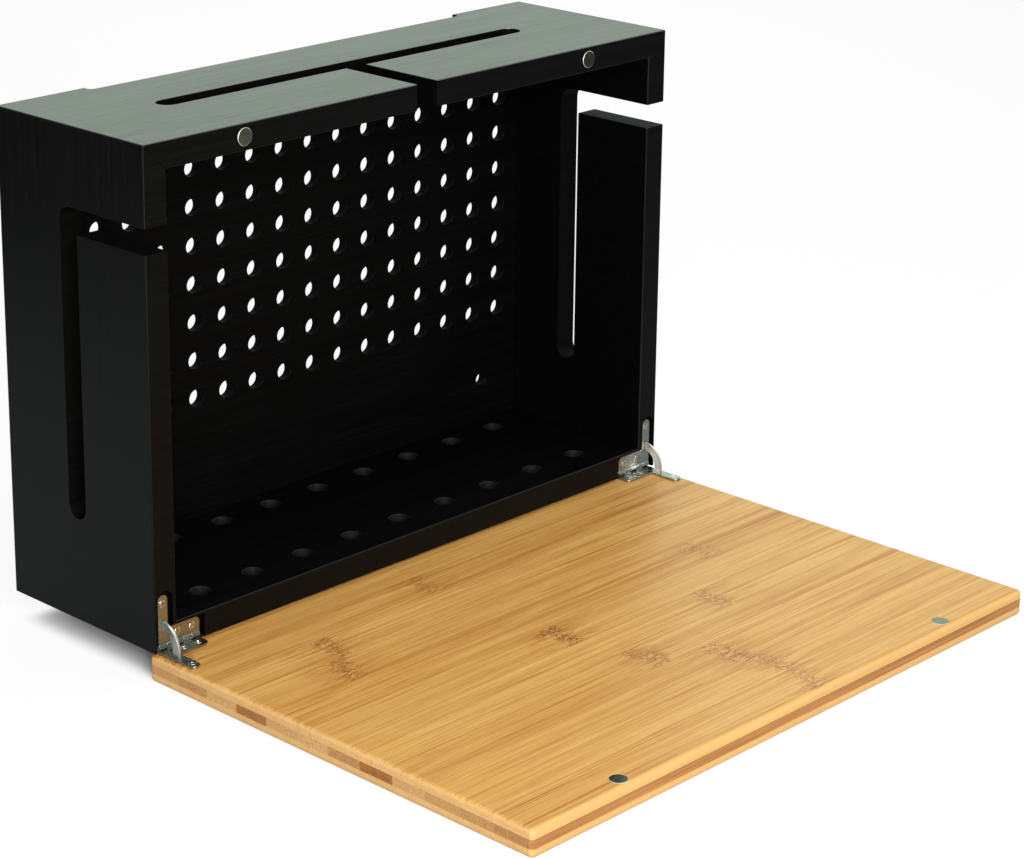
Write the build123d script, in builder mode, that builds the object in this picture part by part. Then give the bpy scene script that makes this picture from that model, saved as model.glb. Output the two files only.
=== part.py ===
from build123d import *

import os
from math import cos, pi, radians, sqrt, tan

# Cable management box: a mitred wooden case with a pegged back and a door that folds down in front.
# Millimetres, +X to the right, +Y to the back, +Z up. The door is open and flat, as it lies on a
# table, and the origin is on that table, under the middle of the whole object.

os.makedirs("parts", exist_ok=True)

# Case
case_width = 400
case_depth = 120
case_height = 275
case_board = 15
case_arris = 0.6

# Back panel, let into a groove that runs round the inside of the case
back_board = 6
back_inset = 8
groove_depth = 5
groove_play = 0.1
groove_end_play = 0.5
peg_diameter = 10
peg_pitch = 22.5
peg_margin = 14
peg_free_height = 60
cord_hole_diameter = 8
cord_hole_side = 30
cord_hole_rise = 26.5

# Cable ways in the top board
top_slot_length = 275
top_slot_width = 13
top_slot_y = 62.5
cross_slot_width = 15
rear_notch_length = 283
rear_notch_depth = 6
rear_notch_radius = 3

# Cable ways in the side boards: up from a round end, then forward to the front edge
side_slot_width = 14
side_slot_y = 62
side_slot_bottom = 59
side_slot_drop = 43.5
side_slot_radius = 8.5

# Peg and air holes, and small screws with their holes, are cut with these numbers of flats
hole_flats = 8
screw_flats = 12

# Air holes in the bottom board
vent_diameter = 12
vent_pitch = 37.5
vent_margin = 30
vent_front_y = 21.6
vent_rear_y = 90

# Loose splines glued into the mitres
spline_thickness = 3
spline_width = 12
spline_from_corner = 8
spline_front_margin = 26
spline_length = 74
spline_play = 0.1
mitre_angle = 45

# Door: three glued layers, with softened edges
door_ply = 5
door_edge_radius = 2.5
door_reveal = 0.3

# Magnets that hold the door shut
magnet_diameter = 10
magnet_thickness = 3
magnet_x = 132
magnet_play = 0.05

# Hinge axis: behind the case's front plane, above its underside, and off the door's inner face
hinge_inset = 3.0
hinge_rise = 2.4
hinge_standoff = 3.7

# Hinge leaves, all of one outline: an arm up the side and a foot along the barrel
leaf_thickness = 1.5
leaf_side_gap = 3.5
leaf_length = 28
leaf_foot_reach = 10.1
leaf_arm_width = 6.5
leaf_arm_reach = 29.1
leaf_corner_radius = 3
seat_margin = 2.5
seat_side_margin = 2.0
seat_lip = 1.3

# Hinge barrel: knuckles of the two leaves in turn, on one pin
barrel_radius = 1.75
barrel_play = 0.35
knuckle_count = 5
knuckle_gap = 0.15
pin_radius = 0.8
pin_play = 0.05

# Curved stay, riveted to the door's leaf, with a lug that stops the door. Its angles are about the
# hinge axis, from the back (0) over the top (90) to the front (180)
stay_inner = 9.8
stay_outer = 14.7
stay_thickness = 1.4
stay_lug = 1.0
stay_tip_angle = 85
stay_lug_angle = 89.2
stay_slit_angle = -7
stay_slot_angle = 105
stay_root_angle = 225
stay_play = 0.4
stay_side_play = 0.25
rivet_play = 0.05

# Countersunk screws
screw_head_radius = 2.1
screw_head_taper = 42
screw_radius = 1.1
screw_length = 6.2
screw_play = 0.05
screw_foot_reach = 5.9
screw_foot_end = 5
screw_foot_pitch = 10
screw_arm_reach = 24.3

# Sizes and places that follow from these
inner_width = case_width - 2 * case_board
inner_height = case_height - 2 * case_board
door_board = 3 * door_ply
door_height = case_height - 2 * door_reveal
door_near = hinge_inset + hinge_rise - door_reveal
foot = door_board + hinge_standoff - hinge_rise
front = (door_height - door_near - case_depth) / 2
rear = front + case_depth
top = foot + case_height
middle_y = front + case_depth / 2
middle_z = foot + case_height / 2
back_front = rear - back_inset - back_board
axis_y = front + hinge_inset
axis_z = foot + hinge_rise
leaf_outer_x = case_width / 2 - leaf_side_gap
leaf_inner_x = leaf_outer_x - leaf_length
arm_x = leaf_outer_x - leaf_arm_width / 2
knuckle_pitch = leaf_length / knuckle_count
screw_head_step = (screw_head_radius - screw_radius) * cos(pi / screw_flats)
screw_head_height = screw_head_step / tan(radians(screw_head_taper))
pilot_depth = screw_length - leaf_thickness + screw_play
through = 2 * case_depth
ahead = 180
hands = {"left": -1, "right": 1}


def save(piece, name):
    """Name a finished piece and write it to its file."""
    piece.label = name
    export_step(piece, f"parts/{name}.step")


def facing_front(y):
    """Plane at depth y as seen from the front: x to the right, y up, and its normal forward."""
    return Plane.XZ.offset(-y)


def across(x):
    """Plane across the hinge at x, centred on the hinge axis: x to the back, y up."""
    return Plane(origin=(x, axis_y, axis_z), x_dir=(0, 1, 0), z_dir=(1, 0, 0))


# Wood that the leaves are screwed to, with y running away from the hinge axis along the leaf. The
# normal points out of the case's front edges, but into the door.
case_seat = Plane(origin=(0, axis_y, axis_z), x_dir=(1, 0, 0), z_dir=(0, -1, 0))
door_seat = Plane(origin=(0, axis_y, door_board), x_dir=(1, 0, 0), z_dir=(0, 0, -1))


def screw_places(hand):
    """The three screws of a leaf, as x and the reach away from the hinge axis."""
    foot_screw = leaf_inner_x + screw_foot_end
    return [
        (hand * arm_x, screw_arm_reach),
        (hand * foot_screw, screw_foot_reach),
        (hand * (foot_screw + screw_foot_pitch), screw_foot_reach),
    ]


def ring_slice(hand, inner, outer, start, end, thickness):
    """Upright slice of a ring round the hinge axis, in line with the arms of the leaves."""
    with BuildSketch(across(hand * arm_x - thickness / 2)) as slice_face:
        with BuildLine():
            inner_arc = CenterArc((0, 0), inner, start, end - start)
            outer_arc = CenterArc((0, 0), outer, start, end - start)
            Line(inner_arc @ 0, outer_arc @ 0)
            Line(inner_arc @ 1, outer_arc @ 1)
        make_face()
    return slice_face.sketch


# The case, first as one hollow block with its arrises taken off and the groove for the back panel
with BuildPart() as case_block:
    with Locations((0, middle_y, middle_z)):
        Box(case_width, case_depth, case_height)
        Box(inner_width, through, inner_height, mode=Mode.SUBTRACT)
    by_depth = case_block.faces().filter_by(Axis.Y).sort_by(Axis.Y)
    by_side = case_block.edges().filter_by(Axis.Y).group_by(lambda edge: abs(edge.center().X))
    chamfer(by_depth[0].edges() + by_depth[-1].edges() + by_side[-1], case_arris)
    with Locations((0, back_front + back_board / 2, middle_z)):
        Box(
            inner_width + 2 * groove_depth,
            back_board + 2 * groove_play,
            inner_height + 2 * groove_depth,
            mode=Mode.SUBTRACT,
        )

# Seats for the hinges in the front edges, with a trough for the barrel, a slit that takes the stay
# when the door is shut, and pilot holes for the screws
with BuildPart() as hinge_seats:
    seat_outer_x = leaf_outer_x + seat_side_margin
    seat_length = leaf_length + seat_side_margin + seat_margin
    seat_foot_top = foot + case_board - seat_lip
    seat_arm_width = leaf_arm_width + seat_side_margin + seat_margin
    seat_arm_top = axis_z + leaf_arm_reach + seat_margin
    trough = barrel_radius + barrel_play
    for hand in hands.values():
        seat_x = hand * (seat_outer_x - seat_length / 2)
        seat_arm_x = hand * (seat_outer_x - seat_arm_width / 2)
        arm_circle_z = seat_arm_top - seat_arm_width / 2
        with BuildSketch(facing_front(axis_y)):
            with Locations((seat_x, (foot + seat_foot_top) / 2)):
                Rectangle(seat_length, seat_foot_top - foot)
            with Locations((seat_arm_x, (foot + arm_circle_z) / 2)):
                Rectangle(seat_arm_width, arm_circle_z - foot)
            with Locations((seat_arm_x, arm_circle_z)):
                Circle(seat_arm_width / 2)
        extrude(amount=case_depth)
        with Locations((seat_x, axis_y, foot + (hinge_rise + trough) / 2)):
            Box(seat_length, 2 * trough, hinge_rise + trough)
        slit_thickness = stay_thickness + 2 * stay_play
        slit = ring_slice(
            hand,
            stay_inner - stay_play,
            stay_outer + stay_lug + stay_play,
            stay_slit_angle,
            ahead - stay_tip_angle,
            slit_thickness,
        )
        extrude(slit, amount=slit_thickness)
        with BuildSketch(case_seat):
            with Locations(*screw_places(hand)):
                RegularPolygon(screw_radius + screw_play, screw_flats)
        extrude(amount=-pilot_depth)

# Splines, one in each mitre
with BuildPart() as corner_splines:
    spline_x = inner_width / 2 + spline_from_corner / sqrt(2)
    spline_z = inner_height / 2 + spline_from_corner / sqrt(2)
    for side in (-1, 1):
        for up in (-1, 1):
            with BuildSketch(facing_front(front + spline_front_margin)):
                with Locations(Location((side * spline_x, middle_z + up * spline_z), -mitre_angle * side * up)):
                    Rectangle(spline_width, spline_thickness)
            extrude(amount=-spline_length)
save(corner_splines.part, "corner_splines")

# Slots that the splines are glued into
with BuildPart() as spline_slots:
    for spline in corner_splines.solids():
        add(offset(spline, amount=spline_play, kind=Kind.INTERSECTION, mode=Mode.PRIVATE))


def corner(side, up, inset):
    """Corner of the case's outline, or of its inside, where the inset is the board's thickness."""
    return (side * (case_width / 2 - inset), middle_z + up * (case_height / 2 - inset))


def mitred_board(from_corner, to_corner):
    """One board of the case, cut from the block between two mitres, with its spline slots."""
    with BuildSketch(facing_front(front - case_board)) as between_mitres:
        with BuildLine():
            Polyline(
                corner(*from_corner, 0),
                corner(*to_corner, 0),
                corner(*to_corner, case_board),
                corner(*from_corner, case_board),
                close=True,
            )
        make_face()
    add(case_block.part)
    extrude(between_mitres.sketch, amount=-through, mode=Mode.INTERSECT)
    add(spline_slots.part, mode=Mode.SUBTRACT)


# Top board: a long slot, a short one from its middle to the front edge, and a shallow rear notch
with BuildPart() as top_board:
    mitred_board((-1, 1), (1, 1))
    with BuildSketch(Plane.XY.offset(top)) as top_ways:
        with Locations((0, front + top_slot_y)):
            SlotOverall(top_slot_length, top_slot_width)
        with Locations((0, front)):
            Rectangle(cross_slot_width, 2 * top_slot_y)
        with Locations((0, rear)):
            RectangleRounded(rear_notch_length, 2 * rear_notch_depth, rear_notch_radius)
    extrude(amount=-case_board, mode=Mode.SUBTRACT)
    with BuildSketch(facing_front(front)):
        with Locations((-magnet_x, top - case_board / 2), (magnet_x, top - case_board / 2)):
            Circle(magnet_diameter / 2 + magnet_play)
    extrude(amount=-magnet_thickness, mode=Mode.SUBTRACT)
save(top_board.part, "top_board")

# Bottom board: two rows of air holes and the feet of the hinges
with BuildPart() as bottom_board:
    mitred_board((1, -1), (-1, -1))
    vent_count = int((inner_width - 2 * vent_margin) / vent_pitch) + 1
    with BuildSketch(Plane.XY.offset(foot)):
        for row_y in (vent_front_y, vent_rear_y):
            with Locations((0, front + row_y)):
                with GridLocations(vent_pitch, 0, vent_count, 1):
                    RegularPolygon(vent_diameter / 2, hole_flats)
    extrude(amount=case_board, mode=Mode.SUBTRACT)
    add(hinge_seats.part, mode=Mode.SUBTRACT)
save(bottom_board.part, "bottom_board")

# Side boards, each with its cable way and the arm of its hinge
for name, hand in hands.items():
    with BuildPart() as side_board:
        mitred_board((hand, -hand), (hand, hand))
        way_top = top - side_slot_drop
        way_low = foot + side_slot_bottom + side_slot_width / 2
        way_back = front + side_slot_y + side_slot_width / 2
        with BuildSketch(Plane.YZ) as side_way:
            with Locations((front + side_slot_y, (way_low + way_top) / 2)):
                Rectangle(side_slot_width, way_top - way_low)
            with Locations(((front + way_back) / 2, way_top - side_slot_width / 2)):
                Rectangle(way_back - front, side_slot_width)
            bend = side_way.vertices().sort_by_distance((way_back, way_top))[0]
            fillet(bend, side_slot_radius)
            with Locations((front + side_slot_y, way_low)):
                Circle(side_slot_width / 2)
        extrude(amount=hand * case_width, mode=Mode.SUBTRACT)
        add(hinge_seats.part, mode=Mode.SUBTRACT)
    save(side_board.part, f"{name}_side_board")

# Back panel: a thin board with a square grid of peg holes and one small hole for a thin cord
with BuildPart() as back_panel:
    with Locations((0, back_front + back_board / 2, middle_z)):
        Box(
            inner_width + 2 * (groove_depth - groove_end_play),
            back_board,
            inner_height + 2 * (groove_depth - groove_end_play),
        )
    peg_columns = int((inner_width - 2 * peg_margin) / peg_pitch) + 1
    peg_rows = int((inner_height - peg_margin - peg_free_height) / peg_pitch) + 1
    peg_edge = (inner_width - (peg_columns - 1) * peg_pitch) / 2
    peg_middle_z = top - case_board - peg_edge - (peg_rows - 1) * peg_pitch / 2
    with BuildSketch(facing_front(back_front)):
        with Locations((0, peg_middle_z)):
            with GridLocations(peg_pitch, peg_pitch, peg_columns, peg_rows):
                RegularPolygon(peg_diameter / 2, hole_flats)
        with Locations((inner_width / 2 - cord_hole_side, foot + case_board + cord_hole_rise)):
            Circle(cord_hole_diameter / 2)
    extrude(amount=-back_board, mode=Mode.SUBTRACT)
save(back_panel.part, "back_panel")

# Door, first as one board with softened edges, bored for the magnets and the hinge screws
with BuildPart() as door_block:
    with Locations((0, front + door_near - door_height / 2, door_board / 2)):
        Box(case_width, door_height, door_board)
    fillet(door_block.edges(), door_edge_radius)
    magnet_y = axis_y + axis_z - top + case_board / 2
    with BuildSketch(Plane.XY.offset(door_board)):
        with Locations((-magnet_x, magnet_y), (magnet_x, magnet_y)):
            Circle(magnet_diameter / 2 + magnet_play)
    extrude(amount=-magnet_thickness, mode=Mode.SUBTRACT)
    for hand in hands.values():
        with BuildSketch(door_seat):
            with Locations(*screw_places(hand)):
                RegularPolygon(screw_radius + screw_play, screw_flats)
        extrude(amount=pilot_depth, mode=Mode.SUBTRACT)

# The three glued layers of the door, from the outside in
for layer, name in enumerate(("door_outer_layer", "door_core", "door_inner_layer")):
    with BuildPart() as door_layer:
        with Locations((0, front + door_near - door_height / 2, (layer + 0.5) * door_ply)):
            Box(2 * case_width, 2 * door_height, door_ply)
        add(door_block.part, mode=Mode.INTERSECT)
    save(door_layer.part, name)

# Magnets: plain discs, set flush
with BuildPart() as magnet:
    Cylinder(magnet_diameter / 2, magnet_thickness, align=(Align.CENTER, Align.CENTER, Align.MAX))
for name, hand in hands.items():
    with BuildPart() as frame_magnet:
        with Locations(Plane(origin=(hand * magnet_x, front, top - case_board / 2), z_dir=(0, -1, 0))):
            add(magnet.part)
    save(frame_magnet.part, f"{name}_case_magnet")
    with BuildPart() as door_magnet:
        with Locations((hand * magnet_x, magnet_y, door_board)):
            add(magnet.part)
    save(door_magnet.part, f"{name}_door_magnet")


def countersunk(play):
    """Screw, point up, with the face of its head at the origin, or its hole, with some play."""
    with BuildPart() as form:
        with BuildSketch():
            RegularPolygon(screw_head_radius + play, screw_flats)
        extrude(amount=screw_head_height, taper=screw_head_taper)
        with BuildSketch():
            RegularPolygon(screw_radius + play, screw_flats)
        extrude(amount=screw_length + play)
    return form.part


screw = countersunk(0)
screw_hole = countersunk(screw_play)


def screw_heads(seat, outward, hand):
    """Places of a leaf's screw heads, on the leaf's face, with z pointing into the wood."""
    face = seat.offset(outward * leaf_thickness)
    return [
        Plane(origin=face.from_local_coords(place), z_dir=seat.z_dir * -outward)
        for place in screw_places(hand)
    ]


def leaf_plate(seat, outward, hand, near_edge):
    """Plate of a leaf, standing on its seat: the arm, the foot and the countersunk holes."""
    arm_circle = leaf_arm_reach - leaf_arm_width / 2
    with BuildSketch(seat) as outline:
        with Locations((hand * (leaf_outer_x - leaf_length / 2), (near_edge + leaf_foot_reach) / 2)):
            Rectangle(leaf_length, leaf_foot_reach - near_edge)
        free_corner = (hand * leaf_inner_x, leaf_foot_reach)
        fillet(outline.vertices().sort_by_distance(free_corner)[0], leaf_corner_radius)
        with Locations((hand * arm_x, (near_edge + arm_circle) / 2)):
            Rectangle(leaf_arm_width, arm_circle - near_edge)
        with Locations((hand * arm_x, arm_circle)):
            Circle(leaf_arm_width / 2)
    extrude(outline.sketch, amount=outward * leaf_thickness)
    with Locations(*screw_heads(seat, outward, hand)):
        add(screw_hole, mode=Mode.SUBTRACT)


def knuckles(hand, first, web_low, web_high):
    """Every second knuckle of the barrel, each with the web that joins it to its plate."""
    length = knuckle_pitch - knuckle_gap
    for number in range(first, knuckle_count, 2):
        middle = hand * (leaf_outer_x - (number + 0.5) * knuckle_pitch)
        with BuildSketch(across(middle - length / 2)) as profile:
            Circle(barrel_radius)
            with Locations(((web_low[0] + web_high[0]) / 2, (web_low[1] + web_high[1]) / 2)):
                Rectangle(web_high[0] - web_low[0], web_high[1] - web_low[1])
        extrude(profile.sketch, amount=length)


def pin_hole(hand):
    """Hole for the pin along the whole barrel."""
    with BuildSketch(across(-case_width)) as hole:
        Circle(pin_radius + pin_play)
    extrude(hole.sketch, amount=2 * case_width, mode=Mode.SUBTRACT)


for name, hand in hands.items():
    # Leaf on the case: odd knuckles, and a slot that the stay slides through
    with BuildPart() as case_leaf:
        near_edge = barrel_radius + barrel_play
        leaf_plate(case_seat, 1, hand, near_edge)
        knuckles(hand, 0, (-leaf_thickness, 0), (0, near_edge + barrel_play))
        pin_hole(hand)
        slot_thickness = stay_thickness + 2 * stay_side_play
        stay_slot = ring_slice(
            hand,
            stay_inner - stay_play,
            stay_outer + stay_play,
            stay_tip_angle,
            stay_slot_angle,
            slot_thickness,
        )
        extrude(stay_slot, amount=slot_thickness, mode=Mode.SUBTRACT)
    save(case_leaf.part, f"{name}_case_leaf")

    # Leaf on the door: even knuckles, and a tight slot for the root of the stay
    with BuildPart() as door_leaf:
        leaf_plate(door_seat, -1, hand, -barrel_radius)
        web_low = (-barrel_radius, barrel_play - hinge_standoff)
        knuckles(hand, 1, web_low, (barrel_radius, 0))
        pin_hole(hand)
        root_thickness = stay_thickness + 2 * rivet_play
        root_slot = ring_slice(
            hand,
            stay_inner - rivet_play,
            stay_outer + rivet_play,
            ahead,
            stay_root_angle,
            root_thickness,
        )
        extrude(root_slot, amount=root_thickness, mode=Mode.SUBTRACT)
    save(door_leaf.part, f"{name}_door_leaf")

    # Stay: a quarter ring with a lug at its tip, its root flush with the back of the door's leaf
    with BuildPart() as stay:
        strap = ring_slice(hand, stay_inner, stay_outer, stay_tip_angle, stay_root_angle, stay_thickness)
        extrude(strap, amount=stay_thickness)
        lug = ring_slice(
            hand,
            stay_inner,
            stay_outer + stay_lug,
            stay_tip_angle,
            stay_lug_angle,
            stay_thickness,
        )
        extrude(lug, amount=stay_thickness)
        split(bisect_by=Plane.XY.offset(door_board), keep=Keep.TOP)
    save(stay.part, f"{name}_stay")

    with BuildPart() as hinge_pin:
        with BuildSketch(across(min(hand * leaf_outer_x, hand * leaf_inner_x))):
            Circle(pin_radius)
        extrude(amount=leaf_length)
    save(hinge_pin.part, f"{name}_hinge_pin")

    for part_name, seat, outward in (("case", case_seat, 1), ("door", door_seat, -1)):
        with BuildPart() as screws:
            with Locations(*screw_heads(seat, outward, hand)):
                add(screw)
        save(screws.part, f"{name}_{part_name}_screws")
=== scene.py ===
from math import cos, pi, radians, sin

import bpy
from mathutils import Matrix, Quaternion, Vector


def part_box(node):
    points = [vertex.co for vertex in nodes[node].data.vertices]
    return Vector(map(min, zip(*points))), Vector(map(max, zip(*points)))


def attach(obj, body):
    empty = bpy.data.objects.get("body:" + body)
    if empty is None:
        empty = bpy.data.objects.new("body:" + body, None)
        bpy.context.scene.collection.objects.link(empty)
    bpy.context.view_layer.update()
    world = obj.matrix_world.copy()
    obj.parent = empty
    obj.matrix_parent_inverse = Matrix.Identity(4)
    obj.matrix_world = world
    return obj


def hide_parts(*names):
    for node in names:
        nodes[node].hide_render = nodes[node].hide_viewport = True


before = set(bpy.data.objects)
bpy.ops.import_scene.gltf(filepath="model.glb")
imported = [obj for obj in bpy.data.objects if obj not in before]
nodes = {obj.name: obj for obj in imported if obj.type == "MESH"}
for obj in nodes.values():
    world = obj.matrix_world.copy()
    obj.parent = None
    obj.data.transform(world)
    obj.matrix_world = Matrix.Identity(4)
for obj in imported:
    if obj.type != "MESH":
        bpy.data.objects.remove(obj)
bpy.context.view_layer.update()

mm = 0.001


# Case boards: four boards of wood, 15 mm thick, mitred at the corners and glued over loose splines.
# The whole case is sprayed with satin black paint, thin enough that the grain still shows in relief.
# The cable ways are cut before painting, and the paint breaks a little at their edges.

class Strand:
    """An output of a shader node. Arithmetic on it adds Math nodes."""

    def __init__(self, finish, socket):
        self.finish = finish
        self.socket = socket

    def maths(self, operation, *values):
        return self.finish.node("ShaderNodeMath", dict(operation=operation), dict(enumerate(values)))

    def __add__(self, other):
        return self.maths("ADD", self, other)

    def __radd__(self, other):
        return self.maths("ADD", other, self)

    def __sub__(self, other):
        return self.maths("SUBTRACT", self, other)

    def __rsub__(self, other):
        return self.maths("SUBTRACT", other, self)

    def __mul__(self, other):
        return self.maths("MULTIPLY", self, other)

    def __rmul__(self, other):
        return self.maths("MULTIPLY", other, self)

    def __truediv__(self, other):
        return self.maths("DIVIDE", self, other)

    def __pow__(self, other):
        return self.maths("POWER", self, other)

    def __abs__(self):
        return self.maths("ABSOLUTE", self)

    def floor(self):
        return self.maths("FLOOR", self)

    def above(self, low, high):
        """0 up to low, 1 from high, and smooth between."""
        inputs = {"Value": self, "From Min": low, "From Max": high}
        return self.finish.node("ShaderNodeMapRange", dict(interpolation_type="SMOOTHSTEP"), inputs)

    def output(self, name):
        """Another output of the same node."""
        return Strand(self.finish, self.socket.node.outputs[name])


class Pattern:
    """A tree of shader nodes, written as sums of their outputs."""

    def __init__(self, tree):
        self.tree = tree

    def feed(self, socket, value):
        if isinstance(value, Strand):
            self.tree.links.new(value.socket, socket)
        else:
            socket.default_value = value

    def node(self, kind, settings=None, inputs=None):
        """Add a node: first its settings, then the values or links of its sockets."""
        made = self.tree.nodes.new(kind)
        for name, value in (settings or {}).items():
            if name == "stops":
                ramp = made.color_ramp
                while len(ramp.elements) < len(value):
                    ramp.elements.new(1)
                for stop, (place, colour) in zip(ramp.elements, value):
                    stop.position = place
                    stop.color = colour
            elif name == "spread":
                made.color_ramp.interpolation = value
            else:
                setattr(made, name, value)
        for name, value in (inputs or {}).items():
            self.feed(made.inputs[name], value)
        return Strand(self, made.outputs[0])

    def place(self):
        """Object coordinates, in metres."""
        return self.node("ShaderNodeTexCoord").output("Object")

    def facing(self):
        """The surface's own direction, in the piece's axes."""
        return self.node("ShaderNodeTexCoord").output("Normal")

    def axes(self, vector):
        """The x, y and z of a vector."""
        split = self.node("ShaderNodeSeparateXYZ", None, {0: vector})
        return split, split.output("Y"), split.output("Z")

    def vector(self, x, y, z):
        return self.node("ShaderNodeCombineXYZ", None, {0: x, 1: y, 2: z})

    def noise(self, vector, scale=1, detail=2, roughness=0.5, distortion=0):
        inputs = {"Vector": vector, "Scale": scale, "Detail": detail}
        inputs.update({"Roughness": roughness, "Distortion": distortion})
        return self.node("ShaderNodeTexNoise", None, inputs)

    def mix(self, first, second, share):
        """Blend of two colours."""
        inputs = {"Factor": share, 6: first, 7: second}
        return self.node("ShaderNodeMix", dict(data_type="RGBA"), inputs).output(2)


class Finish(Pattern):
    """A material: its plain values are set on the shader, and its patterns are fed to it."""

    def __init__(self, name, **plain):
        self.material = bpy.data.materials.new(name)
        self.material.use_nodes = True
        super().__init__(self.material.node_tree)
        self.shader = self.tree.nodes["Principled BSDF"]
        for socket, value in plain.items():
            self.shader.inputs[socket.replace("_", " ")].default_value = value

    def wear(self, **patterns):
        """Feed patterns to the shader."""
        for socket, value in patterns.items():
            self.feed(self.shader.inputs[socket.replace("_", " ")], value)

    def relief(self, height, depth):
        """Bump of a given depth, in metres, at a height of one."""
        bump = self.node("ShaderNodeBump", None, {"Strength": 1, "Distance": depth, "Height": height})
        self.feed(self.shader.inputs["Normal"], bump)


def coat(obj, finish):
    """Put one finish on a whole piece."""
    obj.data.materials.clear()
    obj.data.materials.append(finish.material)
    for face in obj.data.polygons:
        face.material_index = 0


def black_paint(name, along, IOR=1.34, dull=0, body=1):
    """Satin black paint, with the grain of the wood below it running along x or z."""
    finish = Finish(name, IOR=IOR)
    x, y, z = finish.axes(finish.place())
    if along == "z":
        x, z = z, x
    fibre = finish.noise(finish.vector(x * 9, y * 620, z * 620), detail=3, roughness=0.6)
    pore = finish.noise(finish.vector(x * 34, y * 1500, z * 1500), detail=2)
    drift = finish.noise(finish.vector(x * 3, y * 24, z * 24), detail=2)
    peel = finish.noise(finish.place(), scale=420, detail=1)
    pores = pore.above(0.62, 0.72) * drift.above(0.42, 0.6)
    # body scales the colour all over; above one it paints light onto the surface.
    thin, thick = 0.0022 * body, 0.0010 * body
    finish.wear(Base_Color=finish.mix((thick, thick, thick, 1), (thin, thin, thin, 1), fibre.above(0.35, 0.75)))
    gloss = 0.34 + dull + 0.08 * fibre.above(0.3, 0.8) + 0.3 * pores
    if along == "z":
        _, _, upright = finish.axes(finish.facing())
        sawn = abs(upright).above(0.6, 0.8)
        layer = finish.noise(finish.vector(x, y * 60, z * 900), detail=2)
        gloss = gloss + sawn * (0.12 + 0.3 * layer.above(0.4, 0.6))
    finish.wear(Roughness=gloss)
    finish.relief(fibre * 0.3 + peel * 0.12 - pores * 0.9, 0.05 * mm)
    return finish


paint_along = black_paint("black_paint_along_x", "x")
paint_upright = black_paint("black_paint_along_z", "z")
# Shaded copy: a weaker, rougher reflection paints shade on the faces inside the case.
paint_shaded_inside = black_paint("black_paint_shaded_inside", "x", IOR=1.13, dull=0.2)
# Shaded copy: a weaker reflection paints shade on the boards' front edges.
paint_shaded_front = black_paint("black_paint_shaded_front", "x", IOR=1.2, dull=0.1)
# Lit copy: a much stronger reflection paints a sheen on the top face.
paint_lit_on_top = black_paint("black_paint_lit_on_top", "x", IOR=1.9)
# Lit copy: a colour four times lighter paints light onto the walls of the air holes.
paint_lit_in_holes = black_paint("black_paint_lit_in_holes", "x", IOR=1.3, dull=0.2, body=4)


def alone(piece):
    """Select one piece and nothing else."""
    bpy.ops.object.select_all(action="DESELECT")
    piece.select_set(True)
    bpy.context.view_layer.objects.active = piece


def shaped_from(node, name):
    """Copy a CAD node as a piece of its own, with its triangles joined and its flat faces made whole."""
    piece = bpy.data.objects.new(name, nodes[node].data.copy())
    bpy.context.scene.collection.objects.link(piece)
    alone(piece)
    bpy.ops.mesh.customdata_custom_splitnormals_clear()
    bpy.ops.object.mode_set(mode="EDIT")
    bpy.ops.mesh.select_all(action="SELECT")
    bpy.ops.mesh.remove_doubles(threshold=0.002 * mm)
    bpy.ops.mesh.dissolve_limited(angle_limit=radians(0.4))
    bpy.ops.object.mode_set(mode="OBJECT")
    return piece


def ease_edges(piece, width, keep_sharp=lambda point: False):
    """Round the sharp edges of a piece a little, all but those that lie where they are kept sharp."""
    alone(piece)
    bpy.ops.object.mode_set(mode="EDIT")
    bpy.ops.mesh.select_mode(type="EDGE")
    bpy.ops.mesh.select_all(action="DESELECT")
    bpy.ops.mesh.edges_select_sharp(sharpness=radians(35))
    bpy.ops.object.mode_set(mode="OBJECT")
    points = piece.data.vertices
    for edge in piece.data.edges:
        if edge.select and all(keep_sharp(points[end].co) for end in edge.vertices):
            edge.select = False
    bpy.ops.object.mode_set(mode="EDIT")
    bpy.ops.mesh.bevel(offset=width, segments=2)
    bpy.ops.object.mode_set(mode="OBJECT")
    smooth(piece)


def smooth(piece):
    """Shade the curved faces smooth, keep the corners crisp and let the large faces lead."""
    alone(piece)
    bpy.ops.object.shade_smooth_by_angle(angle=radians(32))
    weighted = piece.modifiers.new("weighted", "WEIGHTED_NORMAL")
    weighted.keep_sharp = True
    bpy.ops.object.modifier_apply(modifier=weighted.name)


def pick_faces(piece, test):
    """Select the faces of a piece that pass a test, and leave it in edit mode."""
    alone(piece)
    bpy.ops.object.mode_set(mode="EDIT")
    bpy.ops.mesh.select_mode(type="FACE")
    bpy.ops.mesh.select_all(action="DESELECT")
    bpy.ops.object.mode_set(mode="OBJECT")
    for face in piece.data.polygons:
        face.select = test(face)
    bpy.ops.object.mode_set(mode="EDIT")


def fit(piece, body, finish, slot, *replaced):
    """Coat a finished piece, fix it to its body and hide the parts it replaces. The name of what it stands for
    is not used.
    """
    coat(piece, finish)
    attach(piece, body)
    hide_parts(*replaced)


def dull_and_shaded_faces(piece):
    """Coat a board's front, and its faces in the case and in the cable ways, in shaded copies of the paint:
    more matt, and with a weaker reflection that paints shade there.
    """
    piece.data.materials.append(paint_shaded_inside.material)
    piece.data.materials.append(paint_shaded_front.material)
    for face in piece.data.polygons:
        beside = abs(face.center.x) < case_half_width - 1 * mm
        level = abs(face.center.z - case_middle_z) < case_half_height - 1 * mm
        if beside and level and case_front_y + 0.7 * mm < face.center.y < case_rear_y - 1.4 * mm:
            face.material_index = 1
        elif face.center.y < case_front_y + 0.3 * mm and face.normal.y < -0.9:
            face.material_index = 2


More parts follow.
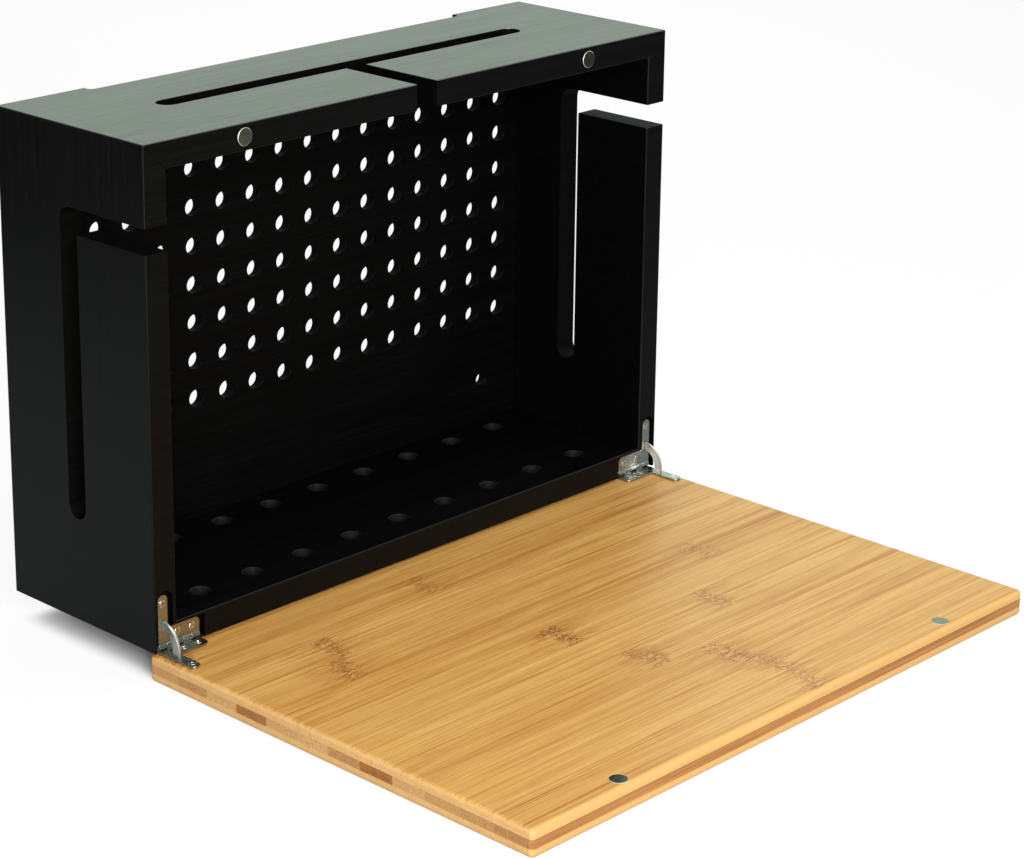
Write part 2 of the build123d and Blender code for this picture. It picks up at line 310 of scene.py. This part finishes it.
def cut(piece, tool, operation="DIFFERENCE"):
    """Cut one piece with another, or weld them together. The other is used up."""
    alone(piece)
    modifier = piece.modifiers.new("cut", "BOOLEAN")
    modifier.operation = operation
    modifier.solver = "EXACT"
    modifier.object = tool
    bpy.ops.object.modifier_apply(modifier=modifier.name)
    bpy.data.objects.remove(tool)


case_half_width = 200 * mm
case_middle_z = 153.8 * mm
case_half_height = 137.5 * mm
case_front_y, case_rear_y = 75 * mm, 195 * mm


def on_mitre(point):
    """Whether a point lies on one of the four glued mitres."""
    from_side = case_half_width - abs(point.x)
    from_face = case_half_height - abs(point.z - case_middle_z)
    return abs(from_side - from_face) < 0.02 * mm


top_board = shaped_from("top_board", "painted_top")
ease_edges(top_board, 0.3 * mm, on_mitre)
fit(top_board, "case", paint_along, "black_wood", "top_board")
dull_and_shaded_faces(top_board)
# The top face takes the lit copy of the paint: a painted sheen.
top_board.data.materials.append(paint_lit_on_top.material)
for face in top_board.data.polygons:
    if face.center.z > case_middle_z + case_half_height - 0.3 * mm:
        face.material_index = 3
for side in ("left", "right"):
    side_board = shaped_from(f"{side}_side_board", f"painted_{side}_side")
    ease_edges(side_board, 0.3 * mm, on_mitre)
    fit(side_board, "case", paint_upright, "black_wood", f"{side}_side_board")
    dull_and_shaded_faces(side_board)


# Bottom board and back panel: the board has two rows of drilled air holes, and the thin panel, slid
# into its groove before glueing, has a grid of drilled peg holes and one small hole for a cord. The
# drill's edges are broken with a countersink and painted over.

def row_of_drills(radius, axis, low, high, first, pitch, counts):
    """Plugs of round holes between two faces of a board, each flared at both ends by the broken edge."""
    broken = 0.35 * mm
    depth = high - low - 2 * broken
    bpy.ops.object.select_all(action="DESELECT")
    bpy.ops.mesh.primitive_cylinder_add(vertices=36, radius=radius, depth=depth)
    drill = bpy.context.active_object
    for end in (1, -1):
        pick_faces(drill, lambda face: face.normal.z * end > 0.9)
        bpy.ops.mesh.extrude_region_move(TRANSFORM_OT_translate={"value": (0, 0, end * 2 * broken)})
        flare = 1 + 2 * broken / radius
        bpy.ops.transform.resize(value=(flare, flare, 1), center_override=(0, 0, 0))
        bpy.ops.object.mode_set(mode="OBJECT")
    if axis == "y":
        drill.data.transform(Matrix.Rotation(pi / 2, 4, "X"))
    drill.data.transform(Matrix.Translation(first))
    for direction, (step, count) in enumerate(zip(pitch, counts)):
        if count > 1:
            row = drill.modifiers.new("row", "ARRAY")
            row.use_relative_offset = False
            row.use_constant_offset = True
            row.constant_offset_displace = [step if number == direction else 0 for number in range(3)]
            row.count = count
            alone(drill)
            bpy.ops.object.modifier_apply(modifier=row.name)
    return drill


low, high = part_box("bottom_board")
bottom_board = shaped_from("bottom_board", "painted_bottom")
vent_radius = 6.02 * mm
vent_rows = (96.25 * mm, 164.65 * mm)
for row_y in vent_rows:
    middle = Vector((-150 * mm, row_y, (low.z + high.z) / 2))
    cut(bottom_board, row_of_drills(vent_radius, "z", low.z, high.z, middle, (37.5 * mm, 0, 0), (9, 1, 1)))


def by_air_hole(point):
    """Whether a point of the bottom board lies at an air hole."""
    reach = vent_radius + 0.88 * mm
    return abs(point.x) < 160 * mm and any(abs(point.y - row_y) < reach for row_y in vent_rows)


def left_sharp(point):
    """Whether an edge of the bottom board stays as it is: in a mitre, in the groove or at an air hole."""
    return on_mitre(point) or by_air_hole(point) or 30 * mm > point.z > 17 * mm and point.y > 77 * mm


ease_edges(bottom_board, 0.3 * mm, left_sharp)
fit(bottom_board, "case", paint_along, "black_wood", "bottom_board")
dull_and_shaded_faces(bottom_board)
# The walls of the air holes take the lit copy of the paint: a lighter colour that paints light onto them.
bottom_board.data.materials.append(paint_lit_in_holes.material)
for face in bottom_board.data.polygons:
    if by_air_hole(face.center) and low.z + 0.1 * mm < face.center.z < high.z - 0.05 * mm:
        face.material_index = 3

low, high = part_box("back_panel")
bpy.ops.object.select_all(action="DESELECT")
bpy.ops.mesh.primitive_cube_add(size=1, location=(low + high) / 2, scale=high - low)
back_panel = bpy.context.active_object
back_panel.name = "drilled_back"
bpy.ops.object.transform_apply(location=True, rotation=True, scale=True)
bpy.ops.object.mode_set(mode="EDIT")
bpy.ops.mesh.bevel(offset=0.4 * mm, segments=2)
bpy.ops.object.mode_set(mode="OBJECT")
pegs = Vector((-168.75 * mm, (low.y + high.y) / 2, 102.55 * mm))
cut(back_panel, row_of_drills(5 * mm, "y", low.y, high.y, pegs, (22.5 * mm, 0, 22.5 * mm), (16, 1, 8)))
cord = Vector((155 * mm, (low.y + high.y) / 2, 57.8 * mm))
cut(back_panel, row_of_drills(4 * mm, "y", low.y, high.y, cord, (0, 0, 0), (1, 1, 1)))
smooth(back_panel)
# All but the panel's rear face take the shaded copy of the paint, painted shade; the rear face takes the plain
# paint.
fit(back_panel, "case", paint_shaded_inside, "black_panel", "back_panel")
back_panel.data.materials.append(paint_along.material)
for face in back_panel.data.polygons:
    if face.normal.y > 0.9:
        face.material_index = 1


# Corner splines: loose strips of bare wood, glued into slots across the four mitres of the case. They
# are out of sight once it is together.

bare_wood = Finish("bare_wood", Roughness=0.7)
x, y, z = bare_wood.axes(bare_wood.place())
ring = bare_wood.noise(bare_wood.vector(x * 300, y * 12, z * 300), detail=3)
bare_wood.wear(Base_Color=bare_wood.mix((0.42, 0.27, 0.14, 1), (0.6, 0.44, 0.26, 1), ring.above(0.3, 0.7)))
coat(nodes["corner_splines"], bare_wood)


# Door: three layers of bamboo strips glued under pressure, with the grain of all three along its
# width, sanded round at the edges and finished with a satin oil. The faces are of pale strips, 25 mm
# wide, each with the marks of the cane's joints; the core mixes pale and steamed strips.

strip_width = 24.92 * mm
strip_start = 105.69 * mm


def bamboo(name, strips, tones):
    """Bamboo strips side by side along y. Each tone holds a strip's joint, its strength and its shade."""
    finish = Finish(name, IOR=1.46)
    x, y, z = finish.axes(finish.place())
    strip = ((strip_start - y) / strip_width).floor()
    lot = finish.node("ShaderNodeTexWhiteNoise", dict(noise_dimensions="1D"), {"W": strip + strips})
    own_x = x + strip * 3.7 + strips
    stops = [(index / len(tones), (*tone, 1)) for index, tone in enumerate(tones)]
    steps = dict(stops=stops, spread="CONSTANT")
    ramp = finish.node("ShaderNodeValToRGB", steps, {0: (strip + 0.5) / len(tones)})
    place, mark, shade = finish.axes(ramp)

    # Fibres, streaks and bands along the strip, from fine to coarse, with darker veins in clusters.
    fibre = finish.noise(finish.vector(own_x * 34, y * 1500, z * 1500), detail=3, roughness=0.75)
    streak = finish.noise(finish.vector(own_x * 12, y * 620, z * 620), detail=3, roughness=0.7)
    band = finish.noise(finish.vector(own_x * 5, y * 150, z * 150), detail=2)
    vein = finish.noise(finish.vector(own_x * 14, y * 950, z * 950), detail=2)
    ember = finish.noise(finish.vector(own_x * 4, y * 300, z * 300), detail=2)
    cluster = finish.noise(finish.vector(own_x * 3, y * 75, z * 75), detail=1).above(0.42, 0.58)
    pale = fibre.above(0.3, 0.7) * 0.3 + streak.above(0.32, 0.68) * 0.3
    pale = pale + band.above(0.35, 0.65) * 0.25 + shade * 0.3
    golden = finish.mix((0.43, 0.168, 0.022, 1), (0.735, 0.445, 0.135, 1), pale)
    golden = finish.mix(golden, (0.43, 0.145, 0.015, 1), ember.above(0.55, 0.7) * (0.25 + 0.5 * cluster))
    golden = finish.mix(golden, (0.36, 0.105, 0.009, 1), vein.above(0.56, 0.67) * (0.2 + 0.45 * cluster))

    # The cane's joint: a wrinkled dark mark across the strip, with frayed fibres on both sides.
    wander = finish.noise(finish.vector(x * 30, y * 70, z * 10), detail=2) - 0.5
    from_joint = x - (place * 0.4 - 0.2) + wander * 0.02 + (lot - 0.5) * (y * 0.2)
    joint = (1 - abs(from_joint).above(0.003, 0.010)) * mark
    wrinkle = finish.noise(finish.vector(x * 330 + wander * 9, y * 900, z * 900), detail=2, distortion=1.4)
    frayed = finish.noise(finish.vector(x * 60, y * 500, z * 500), detail=2, distortion=0.6)
    near = (1 - abs(from_joint).above(0.004, 0.034)) * mark
    golden = finish.mix(golden, (0.40, 0.135, 0.016, 1), near * frayed.above(0.43, 0.64) * 0.7)
    golden = finish.mix(golden, (0.24, 0.068, 0.006, 1), joint * wrinkle.above(0.47, 0.57) * 0.95)
    golden = finish.mix(golden, (0.74, 0.48, 0.2, 1), joint * (1 - wrinkle.above(0.36, 0.45)) * 0.55)

    # Glued seams between the strips, then the paler front edge, partly the strips' own paler side and partly a
    # painted sheen of the lamp on the front, and the sawn ends with their bundles.
    seam = (strip_start - y) / strip_width - strip
    seam = 1 - (0.5 - abs(seam - 0.5)).above(0.003, 0.016)
    golden = finish.mix(golden, (0.27, 0.09, 0.018, 1), seam * (0.2 + 0.4 * lot))
    across, along, _ = finish.axes(finish.facing())
    # Faces that look forward are painted paler: partly the strips' own side, partly a painted sheen of the
    # light on the front.
    front = (0 - along).above(0.1, 0.5)
    golden = finish.mix(golden, (0.62, 0.375, 0.135, 1), front * 0.7)
    end = abs(across).above(0.55, 0.8)
    bundle = finish.node("ShaderNodeTexVoronoi", None, {"Vector": finish.vector(x * 40, y, z), "Scale": 1300})
    sawn = finish.mix((0.69, 0.43, 0.18, 1), (0.47, 0.25, 0.09, 1), (1 - bundle.above(0.18, 0.42)) * 0.6)
    golden = finish.mix(golden, sawn, end * 0.65)
    finish.wear(Base_Color=golden, Roughness=0.34 + 0.14 * fibre + 0.25 * end)
    finish.relief(fibre * 0.5 - joint * wrinkle * 1.5 - vein.above(0.6, 0.7) * 0.4, 0.05 * mm)
    return finish


inner_strips = (
    (0.5, 0, 0.6), (0.012, 1, 0.35), (0.4325, 0.55, 0.35), (0.185, 0.8, 0.75), (0.155, 0.8, 0.45),
    (0.79, 0.6, 0.3), (0.415, 1, 0.55), (0.67, 0.75, 0.85), (0.452, 0.8, 0.6), (0.54, 0.8, 0.45),
    (0.548, 0.8, 0.7), (0.568, 0.7, 0.75), (0.5, 0, 0.5),
)
outer_strips = (
    (0.3, 0.7, 0.4), (0.72, 0.8, 0.7), (0.15, 0.8, 0.5), (0.6, 0.9, 0.8), (0.41, 0.7, 0.35),
    (0.85, 0.8, 0.6), (0.22, 0.8, 0.8), (0.5, 0.9, 0.45), (0.92, 0.7, 0.6), (0.35, 0.8, 0.75),
    (0.67, 0.9, 0.4), (0.12, 0.8, 0.6), (0.5, 0.7, 0.5),
)
coat(nodes["door_inner_layer"], bamboo("bamboo_inner_face", 0, inner_strips))
coat(nodes["door_outer_layer"], bamboo("bamboo_outer_face", 31, outer_strips))

core = Finish("bamboo_core", IOR=1.36)
core_strip_width = 22.7 * mm
core_strip_start = 79.35 * mm
core_shades = (0.35, 0.55, 0.12, 0.95, 0.22, 0.1, 0.55, 1, 0.2, 0.4, 0.5, 0.7, 0.85)
x, y, z = core.axes(core.place())
strip = ((core_strip_start - y) / core_strip_width).floor()
stops = [(index / len(core_shades), (shade, shade, shade, 1)) for index, shade in enumerate(core_shades)]
steps = dict(stops=stops, spread="CONSTANT")
dark, _, _ = core.axes(core.node("ShaderNodeValToRGB", steps, {0: (strip + 0.5) / len(core_shades)}))
own_x = x + strip * 2.3
fibre = core.noise(core.vector(own_x * 14, y * 900, z * 900), detail=3, roughness=0.6)
band = core.noise(core.vector(own_x * 5, y * 240, z * 240), detail=2)
across, _, _ = core.axes(core.facing())
end = abs(across).above(0.55, 0.8)
pale = core.mix((0.53, 0.29, 0.10, 1), (0.67, 0.42, 0.175, 1), fibre.above(0.3, 0.7))
steamed = core.mix((0.22, 0.062, 0.010, 1), (0.38, 0.14, 0.028, 1), fibre.above(0.3, 0.7))
brown = core.mix(pale, steamed, dark * 0.9)
brown = core.mix(brown, (0.33, 0.13, 0.04, 1), band.above(0.45, 0.7) * 0.35 * (1 - end))
bundle = core.node("ShaderNodeTexVoronoi", None, {"Vector": core.vector(x * 40, y, z), "Scale": 1300})
brown = core.mix(brown, (0.16, 0.06, 0.02, 1), (1 - bundle.above(0.15, 0.35)) * 0.25 * end)
glue = z.above(9.55 * mm, 9.8 * mm) * (1 - end * 0.8)
brown = core.mix(brown, (0.13, 0.04, 0.014, 1), glue * 0.75)
core.wear(Base_Color=brown, Roughness=0.42 + 0.2 * fibre)
core.relief(fibre, 0.04 * mm)
coat(nodes["door_core"], core)


# Hinge leaves: stamped from 1.5 mm steel strip, tumbled round at the edges, curled into knuckles and
# nickel plated. One leaf is let into the case's front edge, the other is screwed onto the door.

def nickel_plate(name, tint, dullness, worn=1):
    """Nickel plating with the fine lines of the strip below it and a few dull smears."""
    finish = Finish(name, Metallic=1)
    x, y, z = finish.axes(finish.place())
    line = finish.noise(finish.vector(x * 260, y * 2600, z * 2600), detail=2)
    smear = finish.noise(finish.place(), scale=170, detail=2)
    pit = finish.noise(finish.place(), scale=1500, detail=1).above(0.66, 0.74)
    bright = finish.mix(tint, (0.72, 0.70, 0.64, 1), smear.above(0.45, 0.8) * 0.4 * worn)
    finish.wear(Base_Color=finish.mix(bright, (0.22, 0.19, 0.15, 1), pit * 0.4 * worn))
    finish.wear(Roughness=dullness + 0.16 * smear + 0.06 * line)
    finish.relief((line * 0.3 + smear * 0.5 - pit * 0.4) * worn, 0.02 * mm)
    return finish


leaf_nickel = nickel_plate("nickel_leaf", (0.37, 0.375, 0.35, 1), 0.17, worn=0.15)
axis_y = 77.65 * mm
axis_z = 18.7 * mm
leaf_end_x = 196.5 * mm
knuckle_pitch = 5.6 * mm


def barrel_rod(radius, length, place_x, soften):
    """Rod along the hinge's axis, with its rims softened."""
    bpy.ops.object.select_all(action="DESELECT")
    bpy.ops.mesh.primitive_cylinder_add(vertices=48, radius=radius, depth=length)
    rod = bpy.context.active_object
    pick_faces(rod, lambda face: abs(face.normal.z) > 0.9)
    bpy.ops.mesh.bevel(offset=soften, segments=3)
    bpy.ops.object.mode_set(mode="OBJECT")
    rod.data.transform(Matrix.Translation((place_x, axis_y, axis_z)) @ Matrix.Rotation(pi / 2, 4, "Y"))
    return rod


for hand, side in ((-1, "left"), (1, "right")):
    for first, body in enumerate(("case", "door")):
        leaf = shaped_from(f"{side}_{body}_leaf", f"{side}_{body}_plate")
        ease_edges(leaf, 0.16 * mm)
        for number in range(first, 5, 2):
            middle_x = hand * (leaf_end_x - (number + 0.5) * knuckle_pitch)
            cut(leaf, barrel_rod(2.05 * mm, 5.5 * mm, middle_x, 0.2 * mm), "UNION")
        cut(leaf, barrel_rod(0.86 * mm, 40 * mm, hand * (leaf_end_x - 2.5 * knuckle_pitch), 0.1 * mm))
        smooth(leaf)
        fit(leaf, body, leaf_nickel, "hinge", f"{side}_{body}_leaf")


# Stays: curved flat bars, riveted upright into the door's leaf, that slide through a slot in the
# other leaf and stop the open door with a lug. They are plated brighter, and rubbed where they slide.

stay_nickel = nickel_plate("nickel_stay", (0.86, 0.85, 0.82, 1), 0.3)
for side in ("left", "right"):
    stay = shaped_from(f"{side}_stay", f"{side}_curved_stay")
    ease_edges(stay, 0.2 * mm)
    fit(stay, "door", stay_nickel, "hinge", f"{side}_stay")


# Hinge pins: lengths of plated steel wire, pressed through the knuckles of both leaves, with their
# ends slightly rounded.

for side in ("left", "right"):
    low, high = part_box(f"{side}_hinge_pin")
    pin = barrel_rod(0.8 * mm, high.x - low.x, (low.x + high.x) / 2, 0.3 * mm)
    pin.name = f"{side}_pin_wire"
    smooth(pin)
    fit(pin, "case", stay_nickel, "screw", f"{side}_hinge_pin")


# Screws: small countersunk wood screws with a raised head and a cross recess, nickel plated. Each
# leaf has one in its arm and two in its foot, driven home at whatever angle they end up.

screw_nickel = nickel_plate("nickel_screw", (0.64, 0.62, 0.56, 1), 0.14)
head_radius = 2.08 * mm
shank_radius = 1.08 * mm
bpy.ops.object.select_all(action="DESELECT")
shank = dict(radius=shank_radius, depth=5.1 * mm, location=(0, 0, -3.65 * mm))
bpy.ops.mesh.primitive_cylinder_add(vertices=40, **shank)
screw = bpy.context.active_object
bpy.ops.object.transform_apply(location=True, rotation=True, scale=True)
pick_faces(screw, lambda face: face.normal.z > 0.9)
head_steps = ((0.96, head_radius / shank_radius), (0.14, 1), (0.12, 0.93), (0.1, 0.84), (0.05, 0.7))
for rise, spread in head_steps:
    bpy.ops.mesh.extrude_region_move(TRANSFORM_OT_translate={"value": (0, 0, rise * mm)})
    bpy.ops.transform.resize(value=(spread, spread, 1), center_override=(0, 0, 0))
bpy.ops.object.mode_set(mode="OBJECT")

bpy.ops.object.select_all(action="DESELECT")
bpy.ops.mesh.primitive_cube_add(size=1, scale=(0.5 * mm, 0.5 * mm, 1.3 * mm), location=(0, 0, -0.1 * mm))
driver = bpy.context.active_object
bpy.ops.object.transform_apply(location=True, rotation=True, scale=True)
pick_faces(driver, lambda face: abs(face.normal.z) < 0.1)
bpy.ops.mesh.extrude_faces_move(TRANSFORM_OT_shrink_fatten={"value": 0.95 * mm})
bpy.ops.object.mode_set(mode="OBJECT")
for point in driver.data.vertices:
    if point.co.z < -0.5 * mm:
        point.co.x *= 0.42
        point.co.y *= 0.42
cut(screw, driver)
smooth(screw)

arm_x, foot_inner_x, foot_middle_x = 193.25 * mm, 173.5 * mm, 183.5 * mm
arm_reach, foot_reach = 24.3 * mm, 5.9 * mm
case_seat_y, door_seat_z = 76.15 * mm, 16.5 * mm
forward = Matrix.Rotation(pi / 2, 4, "X")
for hand, side in ((-1, "left"), (1, "right")):
    places = ((arm_x, arm_reach), (foot_inner_x, foot_reach), (foot_middle_x, foot_reach))
    for body in ("case", "door"):
        alone(screw)
        placed = []
        for number, (place_x, reach) in enumerate(places):
            one = bpy.data.objects.new(f"{side}_{body}_screw", screw.data.copy())
            bpy.context.scene.collection.objects.link(one)
            turned = Matrix.Rotation(0.35 + 1.1 * number + 0.6 * hand, 4, "Z")
            if body == "case":
                seat = Matrix.Translation((hand * place_x, case_seat_y, axis_z + reach)) @ forward
            else:
                seat = Matrix.Translation((hand * place_x, axis_y - reach, door_seat_z))
            one.data.transform(seat @ turned)
            placed.append(one)
        bpy.ops.object.select_all(action="DESELECT")
        for one in placed:
            one.select_set(True)
        bpy.context.view_layer.objects.active = placed[0]
        bpy.ops.object.join()
        fit(placed[0], body, screw_nickel, "screw", f"{side}_{body}_screws")
bpy.data.objects.remove(screw)


# Magnets: nickel plated discs, 10 mm across, pressed flush into the top board's front edge and into
# the inner face of the door, where they meet when it shuts.

magnet_nickel = nickel_plate("nickel_magnet", (0.38, 0.36, 0.27, 1), 0.08, worn=0.3)
# The door's discs take a darker copy of the same plating.
darker_nickel = nickel_plate("nickel_magnet_darker", (0.2, 0.21, 0.17, 1), 0.08, worn=0.3)
# Brighter, rougher copy for the rims' bevels: partly plating worn bright, partly a painted highlight.
rim_worn_and_lit_nickel = nickel_plate("nickel_magnet_rim_worn_and_lit", (0.86, 0.84, 0.77, 1), 0.42, worn=0.3)
bpy.ops.object.select_all(action="DESELECT")
bpy.ops.mesh.primitive_cylinder_add(vertices=56, radius=5 * mm, depth=3 * mm, location=(0, 0, -1.5 * mm))
magnet = bpy.context.active_object
bpy.ops.object.transform_apply(location=True, rotation=True, scale=True)
pick_faces(magnet, lambda face: abs(face.normal.z) > 0.9)
bpy.ops.mesh.bevel(offset=0.55 * mm, segments=4)
bpy.ops.object.mode_set(mode="OBJECT")
smooth(magnet)
ring = [face.index for face in magnet.data.polygons if 0.1 < face.normal.z < 0.98]
magnet_x = 132 * mm
for hand, side in ((-1, "left"), (1, "right")):
    for body in ("case", "door"):
        disc = bpy.data.objects.new(f"{side}_{body}_disc", magnet.data.copy())
        bpy.context.scene.collection.objects.link(disc)
        if body == "case":
            disc.data.transform(Matrix.Translation((hand * magnet_x, 74.65 * mm, 283.8 * mm)) @ forward)
        else:
            disc.data.transform(Matrix.Translation((hand * magnet_x, -187.45 * mm, 15 * mm)))
        plating = magnet_nickel if body == "case" else darker_nickel
        fit(disc, body, plating, "magnet", f"{side}_{body}_magnet")
        # The bevel faces take the brighter copy: partly worn plating, partly a painted highlight.
        disc.data.materials.append(rim_worn_and_lit_nickel.material)
        for index in ring:
            disc.data.polygons[index].material_index = 1
bpy.data.objects.remove(magnet)


# Studio: a sheet of white paper for a floor, a large soft lamp in front on the left, two weak ones,
# and a bright backdrop behind on the right, which the black top mirrors. The camera looks down on the
# open box from the front left, from about 1.6 metres.

bpy.ops.object.select_all(action="DESELECT")
bpy.ops.mesh.primitive_plane_add(size=16, location=(0, 0, -0.3 * mm))
floor = bpy.context.active_object
floor.name = "floor"
paper = Finish("floor_paper", Roughness=0.9, Specular_IOR_Level=0)
ray = paper.node("ShaderNodeLightPath")
x, y, _ = paper.axes(paper.place())
reach = (x * x + y * y) ** 0.5
seen = ray.output("Is Glossy Ray")
grey = 0.6 + seen * (-0.23 - 0.29 * reach.above(0.76, 0.98)) + ray * 0.4
paper.wear(Base_Color=paper.vector(grey * (1 - seen * 0.08), grey, grey * (1 - seen * 0.04)))
white = paper.node("ShaderNodeEmission", None, {"Color": (1, 1, 1, 1), "Strength": 1})
open_x = (abs(x) - 0.2).above(-0.012, 0.002)
open_y = (abs(y - 0.135) - 0.06).above(-0.012, 0.002)
hidden = (1 - open_x) * (1 - open_y)
lit = Strand(paper, paper.shader.outputs[0])
shown = paper.node("ShaderNodeMixShader", None, {0: ray * (1 - hidden) * 0.86, 1: lit, 2: white})
paper.tree.links.new(shown.socket, paper.tree.nodes["Material Output"].inputs["Surface"])
floor.data.materials.append(paper.material)


def lamp(name, place, watts):
    """Soft square lamp, 1.2 metres wide, that faces the case."""
    light = bpy.data.lights.new(name, "AREA")
    light.shape = "SQUARE"
    light.size = 1.2
    light.energy = watts
    holder = bpy.data.objects.new(name, light)
    holder.location = place
    holder.rotation_euler = (Vector(place) - Vector((0, 0, 0.1))).to_track_quat("Z", "Y").to_euler()
    bpy.context.scene.collection.objects.link(holder)
    return holder


lamp("key", (-1.1, -1.6, 0.85), 62)
lamp("overhead", (0.1, -0.2, 1.7), 12)
lamp("behind", (1.2, 1.3, 1.1), 9).visible_glossy = False

sky = bpy.data.worlds.new("studio")
bpy.context.scene.world = sky
sky.use_nodes = True
sky.cycles.sampling_method = "NONE"
tree = sky.node_tree
tree.nodes.clear()
room = Pattern(tree)
direction = room.node("ShaderNodeTexCoord").output("Generated")
x, y, _ = room.axes(direction)
behind = (x * 0.8 + y * 0.6).above(-0.15, 0.55)
ray = room.node("ShaderNodeLightPath")
glossy = ray.output("Is Glossy Ray")
camera_ray = ray.output("Is Camera Ray")
level = 0.25 + glossy * (behind * 1.15 - 0.19)
level = level * (1 - camera_ray) + camera_ray
tint = room.mix((1, 1, 1, 1), (0.84, 1, 0.87, 1), glossy)
sheet = room.node("ShaderNodeBackground", None, {"Color": tint, "Strength": level})
plain = room.node("ShaderNodeBackground", None, {"Color": (1, 1, 1, 1), "Strength": 1})
both = room.node("ShaderNodeMixShader", None, {0: camera_ray, 1: sheet, 2: plain})
out = tree.nodes.new("ShaderNodeOutputWorld")
tree.links.new(both.socket, out.inputs["Surface"])

azimuth, elevation, roll = radians(-45.53), radians(16.805), radians(0.308)
back = Vector((sin(azimuth) * cos(elevation), -cos(azimuth) * cos(elevation), sin(elevation)))
aim = Vector((13.1, 71.55, 179.6)) * mm
camera_data = bpy.data.cameras.new("camera")
camera = bpy.data.objects.new("camera", camera_data)
bpy.context.scene.collection.objects.link(camera)
camera_data.sensor_width = 36
camera_data.lens = 2830.2 / 1024 * 36
camera_data.shift_x = (512 - 447.2) / 1024
camera_data.shift_y = (275.4 - 429) / 1024
camera.location = aim + back * 1577.5 * mm
camera.rotation_mode = "QUATERNION"
camera.rotation_quaternion = (-back).to_track_quat("-Z", "Y") @ Quaternion((0, 0, 1), roll)
bpy.context.scene.camera = camera
bpy.context.scene.view_settings.view_transform = "Standard"
